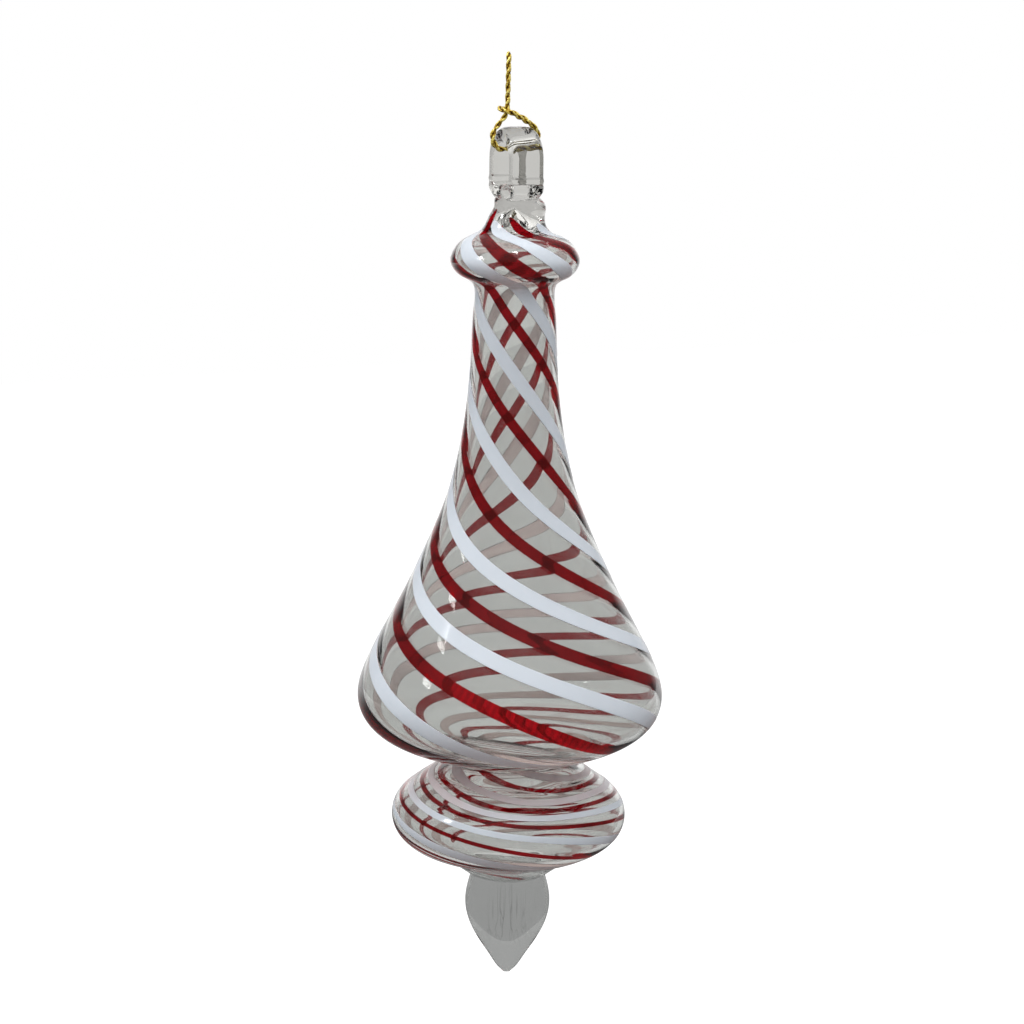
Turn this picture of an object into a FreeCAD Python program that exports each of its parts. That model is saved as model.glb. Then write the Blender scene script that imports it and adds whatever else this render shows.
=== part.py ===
import FreeCAD, Part

import math
import os

# Hand-blown glass finial ornament that hangs from a gold cord.
# Millimetres, +Z up. The origin is where a hook bears, inside the top of the cord's loop.
# The glass is modelled on its own axis, its top at zero, and is then moved below the hook.

Vector = FreeCAD.Vector
ACROSS = Vector(1, 0, 0)
UP = Vector(0, 0, 1)

# Place of the glass under the hook
cord_reach = 12.9  # hook down to the top of the glass
axis_right = 1.75  # hook to the glass's axis, along X

# Hanging eye: a flattened rod turned over into an upright ring, its hole along X
eye_width = 6.0  # of the rod, along X
eye_thick = 3.0  # of the rod, across the ring
eye_bend_r = 4.3  # middle of the rod, at the top and bottom bends
eye_straight = 1.6  # upright stretch between the bends

# Clear gob under the ring, which holds the body by its tip
gob_top_r = 3.4
gob_neck_r = 4.45
gob_foot_r = 6.85
gob_sunk = 1.0  # its top, above the underside of the ring

# Blown body: radii of its outside
cone_r = 6.1  # where the cone turns out to the rim
rim_r = 12.15
neck_r = 7.45
flare_r = 8.76  # top of the bell
bell_r = 29.25
waist_r = 10.9
disc_r = 22.5
foot_r = 7.4  # flat seat under the disc
mouth_r = 1.6  # hole left by the blowing iron, closed by the drop

# Blown body: heights of its parts, from the top down
tip_below_eye = 0.7  # underside of the ring to the closed tip
cone_height = 5.0
rim_height = 11.8
neck_height = 20.0
bell_height = 57.3  # top of the bell to its widest ring
under_height = 13.1  # widest ring down to the waist
disc_height = 22.8  # waist down to the seat of the drop
wall = 1.0

# Swellings of the body, as (share of the height, share of the change in radius, degrees that the canes have turned)
RIM = ((0.11, 0.37, 21), (0.23, 0.75, 41), (0.36, 0.92, 55), (0.485, 1.0, 67))
UNDER_RIM = ((0.61, 0.09, 78), (0.74, 0.40, 92), (0.87, 0.92, 110))
NECK = ((0.13, 0.15, 135), (0.54, 0.49, 180))
BELL = ((0.16, 0.065, 272), (0.32, 0.175, 313), (0.475, 0.345, 357), (0.635, 0.552, 407), (0.795, 0.786, 460),
        (0.915, 0.946, 498))
UNDER_BELL = ((0.25, 0.036, 536), (0.465, 0.144, 552), (0.64, 0.325, 573), (0.77, 0.545, 599),
              (0.87, 0.763, 630), (0.945, 0.945, 661))
DISC = ((0.05, 0.14, 693), (0.11, 0.40, 725), (0.185, 0.61, 762), (0.285, 0.86, 843), (0.41, 0.99, 914))
UNDER_DISC = ((0.54, 0.01, 964), (0.665, 0.125, 1005), (0.765, 0.365, 1055), (0.85, 0.67, 1114), (0.92, 0.84, 1148))
TURN_AT_TIP, TURN_IN_CONE, TURN_AT_CONE = -75, -42, -7
TURN_AT_NECK, TURN_AT_FLARE, TURN_AT_BELL, TURN_AT_WAIST, TURN_AT_FOOT = 120, 227, 521, 672, 1190

# Canes: soft strands trailed over the glass from tip to foot, flat below and domed above
white_width = 3.0
red_width = 2.5
cane_thick = 0.35
fit = 0.06  # room between parts that are melted together
cane_start = 3.6  # along the glass, from the tip
cane_stop = 1.4  # along the glass, short of the seat
WHITE_AT = (-139.7, -219.4, -313.2, -408.9)  # degrees about the axis where each strand has turned by nothing
RED_AT = (-181.3, -264.1, -361.0, -455.0)
cane_spans = 160  # along one strand

# Drop: a solid leaf of clear glass, pressed flat
drop_length = 20.45
drop_width = 16.4
drop_thick = 8.0
drop_turn = -25.0  # degrees from X to the leaf's width
LEAF = ((0.0, 0.866, 0.90), (0.25, 1.0, 1.0), (0.53, 0.855, 0.90), (0.69, 0.633, 0.72), (0.85, 0.371, 0.48),
        (0.93, 0.239, 0.33), (1.0, 0.07, 0.12))  # shares of the length, the width and the thickness

# Cord, and the middle of its route: up one strand, over the hook, down the other, through the eye and round
cord_d = 0.95
ROUTE = (
    (0.1, 0.55, -9.9), (0.65, 1.3, 0.475), (-0.65, -1.3, 0.475), (-0.45, -0.6, -8.5), (-0.6, -0.6, -10.6),
    (-2.15, -0.6, -12.2), (-3.35, -0.6, -13.8), (-3.3, -0.6, -15.6), (-1.85, -0.6, -17.1), (0.55, -0.6, -16.75),
    (3.3, -0.6, -16.95), (5.35, -0.6, -16.7), (5.9, -0.7, -15.1), (5.65, -0.9, -13.5), (4.35, -1.0, -12.4),
    (2.65, -1.2, -11.6), (0.85, -1.75, -10.7), (-0.65, -2.0, -10.0), (-1.55, -0.9, -9.7), (-1.55, 0.9, -9.5),
    (-0.65, 2.0, -9.5), (0.95, 1.8, -10.0), (2.95, 1.1, -11.0), (4.75, 0.9, -12.0), (5.75, 0.8, -13.4),
    (5.95, 0.6, -15.2), (5.45, 0.6, -16.9), (3.2, 0.6, -17.0), (0.55, 0.6, -16.8), (-1.7, 0.6, -17.2),
    (-2.95, 0.6, -15.7), (-2.95, 0.6, -13.9), (-1.55, 0.6, -12.3), (-0.3, 0.6, -10.9), (0.08, 0.55, -9.95),
)
ARC_SHARE = 0.45  # of the shorter run beside a corner, taken up by its arc

eye_drop = 2 * eye_bend_r + eye_thick + eye_straight
tip_depth = eye_drop + tip_below_eye


def stations():
    """Outside of the body from the tip to the drop's seat, as (radius, depth, degrees that the canes have turned).

    Also gives the places in that list of the cone's end, the neck, the bell's flare, the waist and the foot.
    """
    rows = [(0.0, tip_depth, TURN_AT_TIP), (0.52 * cone_r, tip_depth + 0.5 * cone_height, TURN_IN_CONE),
            (cone_r, tip_depth + cone_height, TURN_AT_CONE)]
    marks = {"cone": 2}

    def swelling(shape, height, start_r, end_r):
        top = rows_top
        for share, part, turn in shape:
            rows.append((start_r + part * (end_r - start_r), top + share * height, turn))

    rows_top = tip_depth + cone_height
    swelling(RIM, rim_height, cone_r, rim_r)
    marks["rim"] = len(rows) - 1
    swelling(UNDER_RIM, rim_height, rim_r, neck_r)
    rows_top += rim_height
    marks["neck"] = len(rows)
    rows.append((neck_r, rows_top, TURN_AT_NECK))
    swelling(NECK, neck_height, neck_r, flare_r)
    rows_top += neck_height
    marks["flare"] = len(rows)
    rows.append((flare_r, rows_top, TURN_AT_FLARE))
    swelling(BELL, bell_height, flare_r, bell_r)
    marks["bell_middle"] = len(rows) - 4
    rows_top += bell_height
    marks["bell"] = len(rows)
    rows.append((bell_r, rows_top, TURN_AT_BELL))
    swelling(UNDER_BELL, under_height, bell_r, waist_r)
    rows_top += under_height
    marks["waist"] = len(rows)
    rows.append((waist_r, rows_top, TURN_AT_WAIST))
    swelling(DISC, disc_height, waist_r, disc_r)
    marks["disc"] = len(rows) - 1
    swelling(UNDER_DISC, disc_height, disc_r, foot_r)
    rows_top += disc_height
    marks["foot"] = len(rows)
    rows.append((foot_r, rows_top, TURN_AT_FOOT))
    return rows, marks


def running_length(points):
    """Distance from the first point to each point, along the straight lines between them."""
    total = [0.0]
    for before, after in zip(points, points[1:]):
        total.append(total[-1] + before.distanceToPoint(after))
    return total


def curve_through(points, places):
    curve = Part.BSplineCurve()
    curve.interpolate(Points=points, Parameters=places)
    return curve


ROWS, MARKS = stations()
OUTSIDE_POINTS = [Vector(r, 0, -depth) for r, depth, turn in ROWS]
ALONG = running_length(OUTSIDE_POINTS)
OUTSIDE = curve_through(OUTSIDE_POINTS, ALONG)
TURNING = curve_through([Vector(turn, 0, 0) for r, depth, turn in ROWS], ALONG)
SEAT_DEPTH = ROWS[-1][1]


def outward(place):
    """Direction that points out of the glass, at a distance along the outside."""
    point, tangent = OUTSIDE.getD1(place)
    return Vector(-tangent.z, 0, tangent.x).normalize()


def offset_points(first, last, distance):
    """Stations from first to last, moved out of the glass by a distance, or into it where that is negative."""
    moved = []
    for index in range(first, last + 1):
        moved.append(OUTSIDE_POINTS[index] + outward(ALONG[index]) * distance)
    return moved


def tip_shift(distance):
    """How far up the axis a cone's tip moves, when the cone moves out by a distance."""
    direction = outward(ALONG[0])
    return distance / direction.z


def glass_body():
    """One blown wall, closed at its tip and open at the small mouth in its foot."""
    inside_points = offset_points(1, MARKS["foot"], -wall)
    inside_points.insert(0, Vector(0, 0, -tip_depth - tip_shift(wall)))
    inside_along = running_length(inside_points)
    inside = curve_through(inside_points, inside_along)
    breaks = [0, MARKS["neck"], MARKS["bell_middle"], MARKS["waist"], MARKS["foot"]]
    edges = []
    for start, stop in zip(breaks, breaks[1:]):
        edges.append(OUTSIDE.toShape(ALONG[start], ALONG[stop]))
        edges.append(inside.toShape(inside_along[start], inside_along[stop]))
    floor_depth = SEAT_DEPTH - wall
    corners = [OUTSIDE_POINTS[-1], Vector(mouth_r, 0, -SEAT_DEPTH), Vector(mouth_r, 0, -floor_depth), inside_points[-1]]
    for start, stop in zip(corners, corners[1:]):
        edges.append(Part.makeLine(start, stop))
    edges.append(Part.makeLine(inside_points[0], OUTSIDE_POINTS[0]))
    section = Part.Face(Part.Wire(Part.__sortEdges__(edges)))
    return section.revolve(Vector(), UP, 360)


def share_between(place, places, values):
    """Straight-line reading of values that are given at rising places."""
    for index in range(1, len(places)):
        if place <= places[index]:
            run = (place - places[index - 1]) / (places[index] - places[index - 1])
            return values[index - 1] + run * (values[index] - values[index - 1])
    return values[-1]


WIDTH_PLACES = [ALONG[MARKS[name]] for name in ("cone", "rim", "neck", "flare", "bell", "waist", "disc", "foot")]
WIDTH_SHARES = {"white": (0.6, 1.2, 0.83, 0.83, 1.03, 0.7, 0.5, 0.45),
                "red": (0.5, 1.0, 0.62, 0.66, 1.05, 0.6, 0.38, 0.4)}


def glass_point(place, degrees, lift):
    """Point over the glass: distance along it from the tip, angle about the axis, and height above the surface."""
    point = OUTSIDE.value(place) + outward(place) * lift
    angle = math.radians(degrees)
    return Vector(point.x * math.cos(angle), point.x * math.sin(angle), point.z)


def strand_point(place, start_degrees, side, lift):
    """Point of a strand at a sideways distance from its middle line, square to the strand on the glass.

    A step square to the strand goes back along the glass by its share of the turning, and round the axis by the rest.
    """
    radius = OUTSIDE.value(place).x
    turned, rate = TURNING.getD1(place)
    lean = radius * math.radians(rate.x)
    size = math.hypot(1.0, lean)
    moved = place - side * lean / size
    degrees = start_degrees + turned.x + math.degrees(side / (size * radius))
    return glass_point(moved, degrees, lift)


def strand_places():
    """Distances along the glass that part a strand into spans of about equal length."""
    first, last = cane_start, ALONG[-1] - cane_stop
    steps = 600
    places = [first + (last - first) * step / steps for step in range(steps + 1)]
    lengths = running_length([strand_point(place, 0, 0, 0) for place in places])
    chosen = []
    for span in range(cane_spans + 1):
        chosen.append(share_between(lengths[-1] * span / cane_spans, lengths, places))
    return chosen


def patch(rows, knots, mults):
    """Smooth face between rows of control points, which run along the strand."""
    degree = len(rows) - 1
    surface = Part.BSplineSurface()
    poles = [list(across) for across in zip(*rows)]
    surface.buildFromPolesMultsKnots(poles, mults, (degree + 1, degree + 1), knots, (0.0, 1.0), False, False, 3, degree)
    return surface.toShape()


def cane(start_degrees, width, shares, places):
    """One strand, closed between a face on the glass and a domed face that meet in two long sharp edges."""
    rows = {}
    for name, side, lift in (("left", -0.5, 0.0), ("under", 0.0, 0.0), ("crown", 0.0, cane_thick), ("right", 0.5, 0.0)):
        points = []
        for place in places:
            full = width * share_between(place, WIDTH_PLACES, shares)
            points.append(strand_point(place, start_degrees, side * full, fit + lift))
        curve = curve_through(points, places)
        rows[name] = curve.getPoles()
    knots, mults = curve.getKnots(), curve.getMultiplicities()
    ends = zip(rows["left"], rows["right"])
    chord = [(left + right) * 0.5 for left, right in ends]
    under = [point * 2 - middle for point, middle in zip(rows["under"], chord)]
    crown = [point * 2 - middle for point, middle in zip(rows["crown"], chord)]
    faces = [patch((rows["left"], under, rows["right"]), knots, mults),
             patch((rows["left"], crown, rows["right"]), knots, mults)]
    for end in (0, -1):
        arcs = []
        for middle in (under, crown):
            arc = Part.BezierCurve()
            arc.setPoles([rows["left"][end], middle[end], rows["right"][end]])
            arcs.append(arc.toShape())
        faces.append(Part.makeRuledSurface(arcs[0], arcs[1]))
    shell = Part.Compound(faces)
    shell.sewShape(0.001)
    solid = Part.Solid(Part.Shell(shell.Faces))
    if solid.Volume < 0:
        solid.reverse()
    return solid


def canes(starts, width, colour):
    places = strand_places()
    return Part.Compound([cane(start, width, WIDTH_SHARES[colour], places) for start in starts])


def eye_ring():
    """Flattened rod bent into a ring of two straight legs and two half turns."""
    radius = eye_thick / 2
    flat = eye_width / 2 - radius
    leg = eye_bend_r
    top_centre = Vector(0, 0, -radius - eye_bend_r)
    low_centre = top_centre - UP * eye_straight

    def rod_face(y, z):
        left, right = Vector(-flat, y, z), Vector(flat, y, z)
        step = Vector(0, radius, 0)
        edges = [Part.makeLine(left + step, right + step),
                 Part.Arc(right + step, right + ACROSS * radius, right - step).toShape(),
                 Part.makeLine(right - step, left - step),
                 Part.Arc(left - step, left - ACROSS * radius, left + step).toShape()]
        return Part.Face(Part.Wire(edges))

    top_bend = rod_face(leg, top_centre.z).revolve(top_centre, ACROSS, 180)
    low_bend = rod_face(-leg, low_centre.z).revolve(low_centre, ACROSS, 180)
    legs = [rod_face(side * leg, low_centre.z).extrude(UP * eye_straight) for side in (-1, 1)]
    return top_bend.fuse([low_bend] + legs)


def hanging_eye():
    """Ring and gob of one clear piece of glass, cupped over the body's tip and the canes on it."""
    room = cane_thick + 2 * fit
    cone_end = MARKS["cone"]
    cup = offset_points(1, cone_end, room)
    cup.insert(0, Vector(0, 0, -tip_depth - tip_shift(-room)))
    lip = Vector(gob_foot_r, 0, cup[-1].z)
    neck = Vector(gob_neck_r, 0, -eye_drop - 0.2 * cone_height)
    shoulder = Vector(gob_top_r, 0, -eye_drop + gob_sunk / 2)
    top = Vector(0, 0, -eye_drop + gob_sunk)
    outer = [shoulder, neck, (neck + lip) * 0.5 - ACROSS * 0.1, lip]
    edges = [curve_through(cup, running_length(cup)).toShape(), Part.makeLine(cup[-1], lip),
             curve_through(outer, running_length(outer)).toShape(), Part.makeLine(shoulder, top),
             Part.makeLine(top, cup[0])]
    gob = Part.Face(Part.Wire(Part.__sortEdges__(edges))).revolve(Vector(), UP, 360)
    return eye_ring().fuse(gob).removeSplitter()


def glass_drop():
    """Leaf lofted through ellipses, its flat root on the seat under the disc."""
    turn = math.radians(drop_turn)
    long_way = Vector(math.cos(turn), math.sin(turn), 0)
    short_way = Vector(-math.sin(turn), math.cos(turn), 0)
    wires = []
    for share, width, thick in LEAF:
        centre = Vector(0, 0, -SEAT_DEPTH - share * drop_length)
        half_width, half_thick = width * drop_width / 2, thick * drop_thick / 2
        oval = Part.Ellipse(centre + long_way * half_width, centre + short_way * half_thick, centre)
        wires.append(Part.Wire(oval.toShape()))
    return Part.makeLoft(wires, True)


def hanging_cord():
    """Round cord along straight runs joined by tangent arcs."""
    route = [Vector(*point) for point in ROUTE]
    edges, radii = [], []
    position = route[0]
    for before, corner, after in zip(route, route[1:], route[2:]):
        toward, away = (corner - before), (after - corner)
        shorter = min(toward.Length, away.Length)
        toward.normalize()
        away.normalize()
        turn = toward.getAngle(away)
        reach = ARC_SHARE * shorter
        radius = reach / math.tan(turn / 2)
        radii.append(radius)
        start, stop = corner - toward * reach, corner + away * reach
        inward = (away - toward).normalize()
        middle = corner + inward * (radius / math.cos(turn / 2) - radius)
        edges.append(Part.LineSegment(position, start).toShape())
        edges.append(Part.Arc(start, middle, stop).toShape())
        position = stop
    edges.append(Part.LineSegment(position, route[-1]).toShape())
    path = Part.Wire(edges)
    ring = Part.Wire(Part.Circle(route[0], route[1] - route[0], cord_d / 2).toShape())
    tube = path.makePipeShell([ring], True, False)
    section = math.pi * cord_d ** 2 / 4
    print("cord length %.2f mm, volume over section times length %.4f" % (path.Length, tube.Volume / section / path.Length))
    print("cord radii in diameters, smallest first:", " ".join("%.2f" % (r / cord_d) for r in sorted(radii)[:8]))
    return tube


def main():
    os.makedirs("parts", exist_ok=True)
    glass = {
        "glass_body": glass_body(),
        "white_canes": canes(WHITE_AT, white_width, "white"),
        "red_canes": canes(RED_AT, red_width, "red"),
        "hanging_eye": hanging_eye(),
        "glass_drop": glass_drop(),
    }
    for name, shape in glass.items():
        shape.translate(Vector(axis_right, 0, -cord_reach))
        shape.exportStep("parts/%s.step" % name)
    hanging_cord().exportStep("parts/hanging_cord.step")


main()
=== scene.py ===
"""Hand-blown glass finial ornament with spiral canes, dressed over its CAD model.

Metres, +Z up, in the frame of the CAD model: the origin is where a hook bears, inside the top of the cord's loop.
"""

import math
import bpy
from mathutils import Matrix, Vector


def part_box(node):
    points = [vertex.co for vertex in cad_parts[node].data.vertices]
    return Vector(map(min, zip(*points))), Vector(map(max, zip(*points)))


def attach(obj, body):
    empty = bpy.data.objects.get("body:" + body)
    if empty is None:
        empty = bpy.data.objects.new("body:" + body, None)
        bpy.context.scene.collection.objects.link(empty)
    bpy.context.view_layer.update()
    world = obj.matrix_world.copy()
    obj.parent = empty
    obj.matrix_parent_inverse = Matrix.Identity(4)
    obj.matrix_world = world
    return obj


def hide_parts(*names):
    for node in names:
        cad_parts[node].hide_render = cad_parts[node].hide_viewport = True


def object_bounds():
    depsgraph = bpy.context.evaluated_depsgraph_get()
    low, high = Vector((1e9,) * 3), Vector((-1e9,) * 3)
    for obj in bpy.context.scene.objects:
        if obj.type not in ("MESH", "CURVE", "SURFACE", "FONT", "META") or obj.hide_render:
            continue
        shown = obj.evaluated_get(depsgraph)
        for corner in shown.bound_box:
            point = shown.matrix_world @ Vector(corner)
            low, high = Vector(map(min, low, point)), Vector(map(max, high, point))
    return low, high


bl_info = {
    "name": "Blown glass finial",
    "version": (1, 0, 0),
    "blender": (4, 5, 0),
    "location": "View3D > Sidebar > Finial",
    "description": "Builds a blown glass finial ornament: striped body, hanging eye, drop and gold cord",
    "category": "Object",
}

import bpy
import numpy as np
from mathutils import Matrix, Vector

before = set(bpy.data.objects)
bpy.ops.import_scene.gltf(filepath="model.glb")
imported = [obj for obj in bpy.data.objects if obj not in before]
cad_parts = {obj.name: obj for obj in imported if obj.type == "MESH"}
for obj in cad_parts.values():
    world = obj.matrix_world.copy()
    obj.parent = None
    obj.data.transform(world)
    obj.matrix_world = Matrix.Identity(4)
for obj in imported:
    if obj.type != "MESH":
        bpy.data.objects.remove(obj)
CAD_LOW, CAD_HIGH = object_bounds()

MM = 0.001
BODY_LOW, BODY_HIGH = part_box("glass_body")
AXIS_X = (BODY_LOW[0] / MM + BODY_HIGH[0] / MM) / 2
GLASS_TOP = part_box("hanging_eye")[1][2] / MM

# Lengths from here on are in millimetres, and depths are measured down from the glass's top.

# Blown body: radii of its outside, and heights of its parts from the closed tip down
CONE_R, RIM_R, NECK_R, FLARE_R = 6.1, 12.15, 7.45, 8.76
BELL_R, WAIST_R, DISC_R, FOOT_R = 29.25, 10.9, 22.5, 7.4
TIP_DEPTH = 13.9
CONE_HEIGHT, RIM_HEIGHT, NECK_HEIGHT = 5.0, 11.8, 20.0
BELL_HEIGHT, UNDER_HEIGHT, DISC_HEIGHT = 57.3, 13.1, 22.8
MOUTH_R = 1.6  # left by the blowing iron, closed by the drop

# Swellings between them, as (share of the height, share of the change in radius, degrees that the canes have turned)
RIM = ((0.11, 0.37, 26), (0.23, 0.75, 45), (0.36, 0.92, 57), (0.485, 1.0, 67))
UNDER_RIM = ((0.61, 0.09, 78), (0.74, 0.40, 92), (0.87, 0.92, 110))
NECK = ((0.13, 0.15, 135), (0.54, 0.49, 180))
BELL = ((0.16, 0.065, 272), (0.32, 0.175, 313), (0.475, 0.345, 357), (0.635, 0.552, 407), (0.795, 0.786, 460),
        (0.915, 0.946, 498))
UNDER_BELL = ((0.25, 0.036, 536), (0.465, 0.144, 552), (0.64, 0.325, 573), (0.77, 0.545, 599),
              (0.87, 0.763, 630), (0.945, 0.945, 661))
DISC = ((0.05, 0.14, 693), (0.11, 0.40, 726), (0.185, 0.61, 768), (0.285, 0.86, 853), (0.41, 0.99, 928))
UNDER_DISC = ((0.54, 0.01, 973), (0.665, 0.125, 1010), (0.765, 0.365, 1055), (0.85, 0.67, 1114), (0.92, 0.84, 1148))

# Clear gob over the body's tip: radii and depths inside the ring, its skin as (place along the body, radius, depth),
# and its swelling to one side
GOB_TOP = ((2.6, 12.3), (4.1, 13.0))
GOB_SKIN = ((3.41, 4.85, 14.6), (6.16, 5.4, 17.2))
BULGE, BULGE_DEPTH, BULGE_REACH, BULGE_SIDE = 0.16, 14.6, 1.7, -25

# Eye: middle line of its rod, half the rod's width and thickness, and the ridges round its legs
EYE_BEND, EYE_LEG, EYE_SQUASH = 4.35, 5.0, 0.36
EYE_HALF_WIDE, EYE_HALF_THICK, EYE_TOP = 3.25, 1.62, 1.5
RIDGE_DEPTHS, RIDGE_HEIGHT, RIDGE_REACH = (9.7, 11.0, 12.3), 0.13, 0.36
EYE_LEAN, LEAN_FROM, LEAN_OVER = 0.9, 9.5, 4.0
EYE_SQUARE = 0.57  # power of sine and cosine in the rod's section, 1 for an ellipse

# Degrees about the axis where each cane starts, before it has turned
WHITE_AT = (-139.7, -219.4, -313.2, -408.9)
RED_AT = (-181.3, -264.1, -361.0, -455.0)

# Each cane's ends: the upper one's place along the glass, the degrees by which it has run ahead there, and how far the
# lower one stops short of the foot
WHITE_ENDS = ((6.1, 0, 5.6), (6.8, 0, 5.4), (6.3, 0, 5.8), (6.6, 0, 5.5))
RED_ENDS = ((3.9, 55, 1.4), (7.0, 0, 5.7), (6.7, 0, 5.4), (5.3, 0, 5.9))
AHEAD_UNTIL, AHEAD_OVER = 8.8, 4.9

# Shares of a cane's width at the cone, rim, neck, flare, bell, waist, disc, under the disc and at the foot
WHITE_SHARES = (0.75, 1.02, 0.83, 0.83, 1.03, 0.62, 0.36, 0.75, 0.5)
RED_SHARES = (0.6, 1.12, 0.68, 0.72, 1.05, 0.52, 0.28, 0.36, 0.4)

# How far a cane's top face lies under the skin of the glass
WHITE_SKIN, RED_SKIN = -0.025, 0.06

# Where canes are painted as lit, as (place along the body, reach, power of the fall): the white ones get a painted
# pink cast from the red glass on the disc's top, and one red one is painted brighter low on the bell, where light
# comes up through it. Then the pitch of the red one's ribs, which show there as painted light and dark steps
WHITE_PAINTED_PINK = (134.0, 7.0, 4)
RED_PAINTED_LIGHT = (105.0, 7.6, 6)
RIB_PITCH = 1.45

# Canes on the gob ride higher, and the winding on the disc sags away from the side that the camera sees
GOB_LIFT = 0.12
SAG, SAG_PLACE, SAG_REACH, SAG_SIDE, SAG_SPREAD = 2.4, 139.0, 5.0, -112, 50

# Drop: shares of the length, the width and the thickness, the power of sine and cosine in its section, and its streaks
LEAF = ((0.0, 0.866, 0.90), (0.25, 1.0, 1.0), (0.53, 0.855, 0.90), (0.69, 0.633, 0.72), (0.85, 0.371, 0.48),
        (0.93, 0.239, 0.33), (1.0, 0.07, 0.12))
LEAF_SQUARE = 0.75
STREAK_WIDE, STREAK_PLACE, STREAK_REACH = 3.4, 0.42, 0.24

# Rings of points along the outside, the cavity and a cane, and columns from one cane to the next
OUTER_RINGS, INNER_RINGS, CANE_RINGS, GAP_COLUMNS = 310, 420, 560, 16

# Lamps as (name, place in metres, size in metres, power in watts), and the depths that camera and lamps aim at
LAMPS = (("key", (-0.80, 0.12, 0.50), 0.14, 2.6), ("top", (-0.15, -0.35, 0.85), 0.10, 0.9))
AIM_DEPTH, LIT_DEPTH = 72.675, 72.0

# Cord, in the CAD frame: up one strand, over the hook, down the other, through the eye and round
ROUTE = (
    (0.1, 0.55, -9.9), (0.65, 1.3, 0.475), (-0.65, -1.3, 0.475), (-0.45, -0.6, -8.5), (-0.6, -0.6, -10.6),
    (-2.15, -0.6, -12.2), (-3.35, -0.6, -13.8), (-3.3, -0.6, -15.6), (-1.85, -0.6, -17.1), (0.55, -0.6, -16.75),
    (3.3, -0.6, -16.95), (5.35, -0.6, -16.7), (5.9, -0.7, -15.1), (5.65, -0.9, -13.5), (4.35, -1.0, -12.4),
    (2.65, -1.2, -11.6), (0.85, -1.75, -10.7), (-0.65, -2.0, -10.0), (-1.55, -0.9, -9.7), (-1.55, 0.9, -9.5),
    (-0.65, 2.0, -9.5), (0.95, 1.8, -10.0), (2.95, 1.1, -11.0), (4.75, 0.9, -12.0), (5.75, 0.8, -13.4),
    (5.95, 0.6, -15.2), (5.45, 0.6, -16.9), (3.2, 0.6, -17.0), (0.55, 0.6, -16.8), (-1.7, 0.6, -17.2),
    (-2.95, 0.6, -15.7), (-2.95, 0.6, -13.9), (-1.55, 0.6, -12.3), (-0.3, 0.6, -10.9), (0.08, 0.55, -9.95),
)


class FinialGlass(bpy.types.PropertyGroup):
    """Sizes and colours of the blown body, the canes, the eye and the drop"""
    wall: bpy.props.FloatProperty(name="Wall", description="Thickness of the blown wall", default=0.001, unit="LENGTH")
    hollow: bpy.props.FloatProperty(
        name="Hollow", description="Radius of the shallow hollow in the inner wall between two canes", default=0.031,
        unit="LENGTH")
    white_width: bpy.props.FloatProperty(
        name="White cane", description="Full width of a white cane", default=0.003, unit="LENGTH")
    red_width: bpy.props.FloatProperty(
        name="Red cane", description="Full width of a red cane", default=0.0025, unit="LENGTH")
    cane_thick: bpy.props.FloatProperty(
        name="Cane", description="Thickness of a cane, pressed flat in the wall", default=0.0003, unit="LENGTH")
    drop_length: bpy.props.FloatProperty(
        name="Drop length", description="From the seat under the disc to the tip", default=0.02045, unit="LENGTH")
    drop_width: bpy.props.FloatProperty(
        name="Drop width", description="Across the leaf", default=0.0164, unit="LENGTH")
    drop_thick: bpy.props.FloatProperty(
        name="Drop thickness", description="Through the pressed leaf", default=0.008, unit="LENGTH")
    drop_turn: bpy.props.FloatProperty(
        name="Drop turn", description="From X to the leaf's width", default=math.radians(-25), subtype="ANGLE")
    # The glass tints are greys darker than clear glass: painted shade for the dimmer room seen through the glass,
    # darker still in the thick eye and drop
    tint: bpy.props.FloatVectorProperty(
        name="Clear glass", description="Tint of the blown wall", default=(0.645, 0.655, 0.64), subtype="COLOR")
    eye_painted_grey: bpy.props.FloatVectorProperty(
        name="Eye", description="Tint of the thick glass of the eye", default=(0.48, 0.475, 0.455), subtype="COLOR")
    drop_painted_grey: bpy.props.FloatVectorProperty(
        name="Drop", description="Tint of the thick glass of the drop", default=(0.30, 0.305, 0.30), subtype="COLOR")
    white: bpy.props.FloatVectorProperty(
        name="White glass", description="Opal glass of the white canes, lit from outside",
        default=(0.74, 0.82, 0.90), subtype="COLOR")
    white_through: bpy.props.FloatVectorProperty(
        name="White, lit through", description="Light that comes through the opal glass",
        default=(0.82, 0.66, 0.64), subtype="COLOR")
    # Painted glow: emission on the canes' inner faces that look up, standing in for light that falls in through the
    # clear glass
    white_painted_glow: bpy.props.FloatVectorProperty(
        name="White, inner face", description="Daylight on the opal glass where it looks up into the bubble",
        default=(0.60, 0.47, 0.44), subtype="COLOR")
    red: bpy.props.FloatVectorProperty(
        name="Red glass", description="Colour of the red canes", default=(0.47, 0.008, 0.015), subtype="COLOR")


class FinialCord(bpy.types.PropertyGroup):
    """Size, twist and colour of the cord"""
    thick: bpy.props.FloatProperty(
        name="Thickness", description="Across the twisted cord", default=0.00095, unit="LENGTH")
    lay: bpy.props.FloatProperty(
        name="Lay", description="Length of one whole turn of a ply", default=0.0038, unit="LENGTH")
    gold: bpy.props.FloatVectorProperty(
        name="Gold", description="Colour of the metallic thread", default=(0.52, 0.30, 0.005), subtype="COLOR")


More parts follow.
